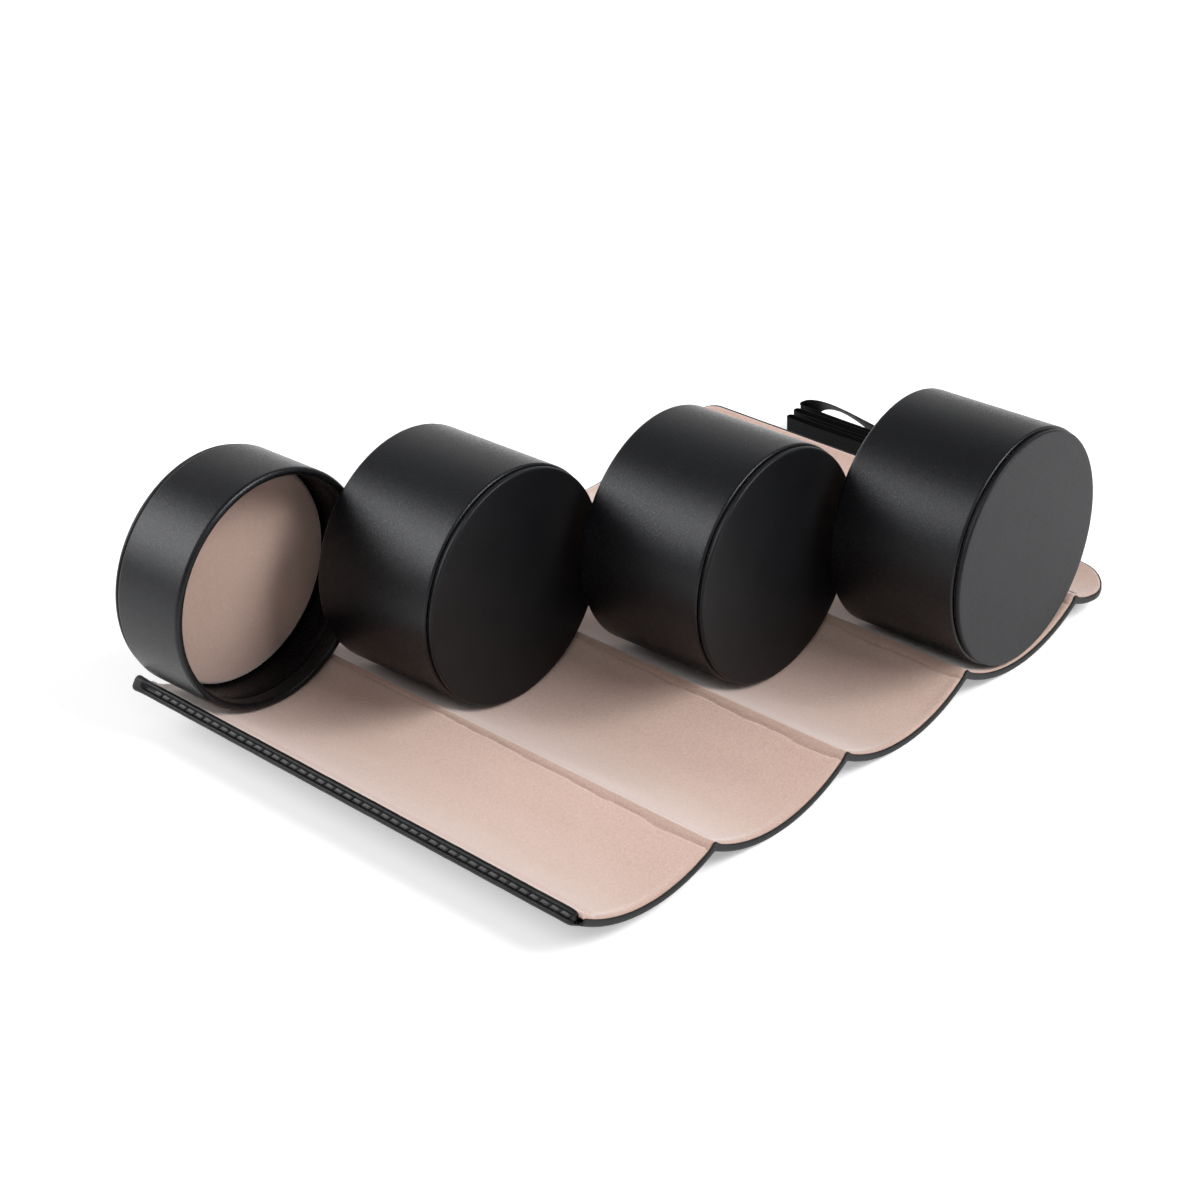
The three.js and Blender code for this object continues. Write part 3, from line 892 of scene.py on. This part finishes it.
def paint_strip_shade(piece, fold):
    """The strip between a crest and its seam takes a darker velvet: painted shade for its steeper
    face, which shows less sheen.
    """
    piece.data.materials.append(STRIP_SHADE_VELVET)
    for face in piece.data.polygons:
        offset = face.center.x / MM - crest_x(fold)
        y = face.center.y / MM
        if face.normal.z > 0.2 and -seam_place(fold, y) < offset < -0.3:
            face.material_index = 1


FOLD_BODIES = {
    1: ("panel_1", "panel_2"),
    2: ("panel_2", "panel_3"),
    3: ("panel_3", "panel_4"),
    4: ("panel_4", "flap"),
}
offsets = [-s for s in FOLD_STEPS] + [0.0] + FOLD_STEPS[::-1]
for fold, (left_body, right_body) in FOLD_BODIES.items():
    for kind, profile, material in (
        ("lining", lining_profile(), VELVET),
        ("cover", cover_profile(), MAT_LEATHER),
    ):
        rings = [fold_ring(fold, offset, profile, kind) for offset in offsets]
        piece = sweep(f"fold_{fold}_{kind}", rings, material)
        # Painted shade on the strip left of the first three crests
        if kind == "lining" and fold < 4:
            paint_strip_shade(piece, fold)
        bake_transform(piece)


# Bound free end of the lid panel: leather folded over the edge and sewn
BINDING_FRONT = -104.6
BINDING_BACK = 110.4
BINDING_MIDDLE = (0.9, -1.75)
BINDING_FILLED = 2.35

# The binding's section, as (out from the panel's end, rise above the lining)
BINDING_OUTLINE = [
    (0.35, 0.30),
    (0.52, 0.70),
    (0.95, 0.90),
    (1.50, 0.80),
    (1.98, 0.42),
    (2.16, -0.10),
    (1.98, -0.52),
    (1.40, -0.72),
    (1.22, -1.05),
    (1.18, -1.60),
    (1.22, -2.15),
    (1.40, -2.50),
    (2.02, -2.68),
    (2.26, -3.10),
    (2.14, -3.66),
    (1.76, -4.14),
    (1.15, -4.42),
    (0.50, -4.48),
    (-1.50, -4.40),
    (-3.20, -4.32),
    (-4.00, -4.20),
    (-4.10, -3.85),
    (-3.90, -3.48),
    (-1.50, -3.45),
    (0.05, -3.42),
    (0.35, -3.10),
    (0.32, -1.50),
]

# The binding's ends, as (distance from the end, size of the section)
BINDING_FRONT_END = [
    (2.4, 0.30),
    (1.1, 0.38),
    (0.35, 0.46),
    (0.06, 0.53),
    (0.0, 0.60),
    (0.08, 0.69),
    (0.35, 0.79),
    (0.8, 0.87),
    (1.5, 0.94),
    (2.4, 0.98),
]
BINDING_BACK_END = [
    (3.5, 1.06),
    (1.6, 1.12),
    (0.7, 1.08),
    (0.2, 0.96),
    (0.0, 0.80),
    (0.15, 0.62),
    (0.7, 0.45),
]


def binding_place(out, rise, y):
    """A point beside the panel's end: out along its slope, rise above the lining's surface."""
    c, s = math.cos(LID_END), math.sin(LID_END)
    end_x = LID_CENTRE[0] + LINING_RADIUS * s
    end_z = LID_CENTRE[1] - LINING_RADIUS * c
    return (end_x - out * c - rise * s, y, end_z - out * s + rise * c)


def binding_ring(y, size, groove=1.0):
    """The binding's section at one place, drawn in or let out about its middle; groove 0 is filled."""
    sway = 0.08 * math.sin(0.31 * y) + 0.06 * math.sin(0.83 * y + 1.0)
    ring = []
    for out, rise in BINDING_OUTLINE:
        pinch = sway if out > 0.6 else 0.0
        if 0.6 < out < 2.1 and -3 < rise < -0.4:
            out = lerp(BINDING_FILLED, out, groove)
        share = smoothstep(-0.2, 0.9, out)
        grow = lerp(min(1.0, size), size, share)
        new_out = BINDING_MIDDLE[0] + (out + pinch - BINDING_MIDDLE[0]) * grow
        new_rise = BINDING_MIDDLE[1] + (rise + 0.5 * pinch - BINDING_MIDDLE[1]) * grow
        ring.append(binding_place(new_out, new_rise, y))
    return ring


def add_binding():
    """Open at the front end, where the fold shows, and rolled shut at the back end."""
    rings = [binding_ring(BINDING_FRONT + inset, size) for inset, size in BINDING_FRONT_END]
    rings += [binding_ring(y, 1.0) for y in np.linspace(BINDING_FRONT + 3.4, BINDING_BACK - 9, 108)]
    for t in (0.0, 1.0, 2.0, 3.0):
        rings.append(binding_ring(BINDING_BACK - 7 + t, 1.0 + 0.02 * t, 1 - t / 3))
    rings += [binding_ring(BINDING_BACK - inset, size, 0.0) for inset, size in BINDING_BACK_END]
    piece = sweep("edge_binding", rings, MAT_LEATHER)
    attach(piece, "panel_1")
    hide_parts("end_binding")


STITCH_PITCH = 4.5
STITCH_LENGTH = 4.15
STITCH_HALF = 0.86
STITCH_LEAN = 0.7
STITCH_OUT = 1.2
STITCH_RISE = -1.60
STITCH_STEPS = 9

# A stitch's section, as (height, share of its half width)
STITCH_SECTION = [
    (0.0, -1.0),
    (0.34, -0.92),
    (0.52, -0.55),
    (0.56, 0.0),
    (0.52, 0.55),
    (0.34, 0.92),
    (0.0, 1.0),
    (-0.15, 0.0),
]


def add_stitches():
    """Flat leaning stitches side by side in the binding's groove, a dark gap between each two."""
    points = []
    faces = []
    sides = len(STITCH_SECTION)
    first = BINDING_FRONT + 4.0
    for number in range(int((BINDING_BACK - first - 7) / STITCH_PITCH)):
        centre_y = first + STITCH_PITCH * number
        base = len(points)
        for i in range(STITCH_STEPS):
            t = 2 * i / (STITCH_STEPS - 1) - 1
            swell = max(0.3, 1 - abs(t) ** 10)
            dip = 0.3 * abs(t) ** 6
            for lift, across in STITCH_SECTION:
                out = STITCH_OUT + lift * (0.5 + 0.5 * swell) - dip
                rise = across * STITCH_HALF * (0.75 + 0.25 * swell)
                y = centre_y + t * STITCH_LENGTH / 2 - STITCH_LEAN * rise
                points.append(binding_place(out, rise + STITCH_RISE + 0.12 * t, y))
        faces += [tuple(base + v for v in face) for face in loop_faces(STITCH_STEPS, sides)]
        faces.append(tuple(base + k for k in range(sides)))
        end = base + (STITCH_STEPS - 1) * sides
        faces.append(tuple(end + k for k in range(sides)))
    piece = add_mesh("binding_stitches", points, faces, THREAD)
    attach(piece, "panel_1")


add_binding()
add_stitches()


# Patch under the flap that holds the ribbon's end
PATCH_ANGLES = (-0.24, 0.14)
PATCH_HALF = 9.0
PATCH_EDGE = 0.4
PATCH_GAP = 0.12
PATCH_FACE = 1.3


def add_patch():
    """A curved pad on the flap's underside, softer at its two ends."""
    radius, _, centre = flap_shape(0)
    rings = []
    low = MAT_THICK + PATCH_GAP
    high = MAT_THICK + PATCH_FACE
    side = [(PATCH_HALF - PATCH_EDGE, high), (PATCH_HALF, high - PATCH_EDGE), (PATCH_HALF, low)]
    face = [(y, high + 0.1) for y in np.linspace(1 - PATCH_HALF, PATCH_HALF - 1, 9)]
    outline = [(-y, depth) for y, depth in reversed(side)] + face + side
    for t in np.linspace(0, 1, 25):
        angle = lerp(*PATCH_ANGLES, t)
        edge = smoothstep(0, 0.08, t) * smoothstep(0, 0.08, 1 - t)
        ring = []
        for y, depth in outline:
            d = lerp(low, depth, 0.35 + 0.65 * edge) if depth > low else low
            r = radius + d
            ring.append((centre[0] + r * math.sin(angle), y, centre[1] - r * math.cos(angle)))
        rings.append(ring)
    piece = sweep("ribbon_patch", rings, MAT_LEATHER)
    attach(piece, "flap")
    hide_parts("ribbon_anchor")


add_patch()


# Tie ribbon: the route of the solid, in finer steps
RIBBON_START = 0.17


def ribbon_route():
    """Places along the ribbon's middle, each with the lean of its width from the upright."""
    route = []

    def put(x, y, z, lean):
        route.append((crest_x(4) + x, y, z, math.radians(lean)))

    radius, _, centre = flap_shape(0)
    start_r = radius + MAT_THICK + 0.8
    start_x = centre[0] - crest_x(4) + start_r * math.sin(RIBBON_START)
    start_z = centre[1] - start_r * math.cos(RIBBON_START)
    lead_end = RIBBON_FIRST_RUN - RIBBON_BEND
    for t in np.linspace(0, 1, 25):
        lift = 0.9 * math.sin(math.pi * min(1, t * 1.3))
        turn = 90 * (1 - smoothstep(0.15, 0.95, t))
        put(lerp(start_x, lead_end, t), 0.0, lerp(start_z, RIBBON_HEIGHT, t) + lift, turn)
    for a in np.linspace(0, math.pi / 2, 16)[1:]:
        put(lead_end + RIBBON_BEND * math.sin(a), RIBBON_BEND * (1 - math.cos(a)), RIBBON_HEIGHT, 0)
    x, y, heading = RIBBON_FIRST_RUN, RIBBON_BEND, 1
    for run in range(RIBBON_RUNS):
        stop = RIBBON_BACK + RIBBON_STAGGER * run if heading > 0 else RIBBON_FRONT
        free = run == RIBBON_RUNS - 1
        for t in np.linspace(0, 1, 61 if free else 33)[1:]:
            arch = math.sin(math.pi * (2.5 * t) ** 0.6) if free and t < 0.4 else 0.0
            sway = 0.0 if free else 0.5 * math.sin(2 * math.pi * t)
            lean = 50 * math.sqrt(max(0, arch))
            put(x + sway, lerp(y, stop, t), RIBBON_HEIGHT + RIBBON_ARCH * arch, lean)
        if free:
            break
        half = RIBBON_PITCH / 2
        for a in np.linspace(0, math.pi, 15)[1:]:
            put(x + half * (1 - math.cos(a)), stop + heading * half * math.sin(a), RIBBON_HEIGHT, 0)
        x += RIBBON_PITCH
        y = stop
        heading = -heading
    return route


# The ribbon's section, as (share of the half width, height), with a thicker selvedge
RIBBON_UPPER = [(-0.97, 0.2), (-0.5, 0.16), (0.0, 0.15), (0.5, 0.16), (0.97, 0.2)]
RIBBON_LOWER = [(w, -n) for w, n in reversed(RIBBON_UPPER)]
RIBBON_SECTION = [(-1.0, 0.0), *RIBBON_UPPER, (1.0, 0.0), *RIBBON_LOWER]


def add_ribbon():
    """One unbroken strip along the route."""
    route = ribbon_route()
    places = [Vector(p[:3]) for p in route]
    rings = []
    last = len(route) - 1
    for i, place in enumerate(places):
        along = (places[min(last, i + 1)] - places[max(0, i - 1)]).normalized()
        side = along.cross(Vector((0, 0, 1))).normalized()
        upright = side.cross(along)
        lean = route[i][3]
        width = upright * math.cos(lean) + side * math.sin(lean)
        normal = along.cross(width)
        ring = []
        for w, n in RIBBON_SECTION:
            ring.append(tuple(place + width * (w * RIBBON_WIDTH / 2) + normal * n))
        rings.append(ring)
    piece = sweep("ribbon", rings, RIBBON)
    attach(piece, "flap")
    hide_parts("tie_ribbon")


add_ribbon()

# The boards inside the mat keep their solids
for name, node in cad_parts.items():
    if name.endswith("_board"):
        node.data.materials.clear()
        node.data.materials.append(CARD)


# Floor, world and lamps
FLOOR_HALF = 4.0
FLOOR_GREY = 0.85
FLOOR_GLOW = 0.36
WORLD_FRONT = 0.25
WORLD_BACK = 1.15
HORIZON = (0.6, 0.6, 0.6, 1)
BRIGHT_BAND = (0.86, 0.86, 0.86, 1)
BRIGHT_BAND_HEIGHT = 0.3
OVERHEAD = (0.35, 0.35, 0.355, 1)
OVERHEAD_HEIGHT = 0.8


def add_floor():
    """White floor: it takes shadows, and glows a little for all but diffuse light."""
    signs = ((-1, -1), (1, -1), (1, 1), (-1, 1))
    corners = [(FLOOR_HALF * x, FLOOR_HALF * y, 0) for x, y in signs]
    mesh = bpy.data.meshes.new("floor")
    mesh.from_pydata(corners, [], [(0, 1, 2, 3)])
    floor = bpy.data.objects.new("floor", mesh)
    scene.collection.objects.link(floor)
    material = bpy.data.materials.new("floor_white")
    material.use_nodes = True
    tree = material.node_tree
    tree.nodes.clear()
    diffuse = tree.nodes.new("ShaderNodeBsdfDiffuse")
    diffuse.inputs["Color"].default_value = (FLOOR_GREY, FLOOR_GREY, FLOOR_GREY, 1)
    glow = tree.nodes.new("ShaderNodeEmission")
    glow.inputs["Color"].default_value = (1, 1, 1, 1)
    path = tree.nodes.new("ShaderNodeLightPath")
    seen = path.outputs["Is Camera Ray"]
    for ray in ("Is Glossy Ray", "Is Transmission Ray"):
        either = tree.nodes.new("ShaderNodeMath")
        either.operation = "MAXIMUM"
        tree.links.new(seen, either.inputs[0])
        tree.links.new(path.outputs[ray], either.inputs[1])
        seen = either.outputs["Value"]
    lift = tree.nodes.new("ShaderNodeMath")
    lift.operation = "MULTIPLY"
    lift.inputs[1].default_value = FLOOR_GLOW
    tree.links.new(seen, lift.inputs[0])
    tree.links.new(lift.outputs["Value"], glow.inputs["Strength"])
    both = tree.nodes.new("ShaderNodeAddShader")
    tree.links.new(diffuse.outputs["BSDF"], both.inputs[0])
    tree.links.new(glow.outputs["Emission"], both.inputs[1])
    output = tree.nodes.new("ShaderNodeOutputMaterial")
    tree.links.new(both.outputs["Shader"], output.inputs["Surface"])
    mesh.materials.append(material)


def set_world():
    """A pale studio: brightest some way up and behind, dimmer overhead and in front."""
    world = bpy.data.worlds.new("studio")
    scene.world = world
    world.use_nodes = True
    tree = world.node_tree
    background = tree.nodes["Background"]
    place = tree.nodes.new("ShaderNodeTexCoord")
    split = tree.nodes.new("ShaderNodeSeparateXYZ")
    tree.links.new(place.outputs["Generated"], split.inputs["Vector"])
    ramp = tree.nodes.new("ShaderNodeValToRGB")
    stops = ramp.color_ramp.elements
    stops[0].position = 0.0
    stops[0].color = HORIZON
    stops[1].position = OVERHEAD_HEIGHT
    stops[1].color = OVERHEAD
    stops.new(BRIGHT_BAND_HEIGHT).color = BRIGHT_BAND
    tree.links.new(split.outputs["Z"], ramp.inputs["Fac"])
    tree.links.new(ramp.outputs["Color"], background.inputs["Color"])
    level = tree.nodes.new("ShaderNodeMapRange")
    level.inputs["From Min"].default_value = -1.0
    level.inputs["To Min"].default_value = WORLD_FRONT
    level.inputs["To Max"].default_value = WORLD_BACK
    tree.links.new(split.outputs["Y"], level.inputs["Value"])
    tree.links.new(level.outputs["Result"], background.inputs["Strength"])


def add_lamp(name, place, target, size, power):
    """A rectangular lamp turned to its target; metres and watts."""
    data = bpy.data.lights.new(name, "AREA")
    data.shape = "RECTANGLE"
    data.size, data.size_y = size
    data.energy = power
    lamp = bpy.data.objects.new(name, data)
    lamp.location = place
    lamp.rotation_euler = (Vector(target) - Vector(place)).to_track_quat("-Z", "Y").to_euler()
    scene.collection.objects.link(lamp)


add_floor()
set_world()
add_lamp("front", place=(0.8, -1.9, 2.0), target=(0, 0, 0.04), size=(1.7, 1.2), power=79.0)
add_lamp("left", place=(-1.2, -1.2, 1.9), target=(0, 0, 0.04), size=(1.2, 1.2), power=6.0)
add_lamp("back_left", place=(-1.2, 1.36, 1.12), target=(0, 0, 0.05), size=(1.44, 1.15), power=26.0)
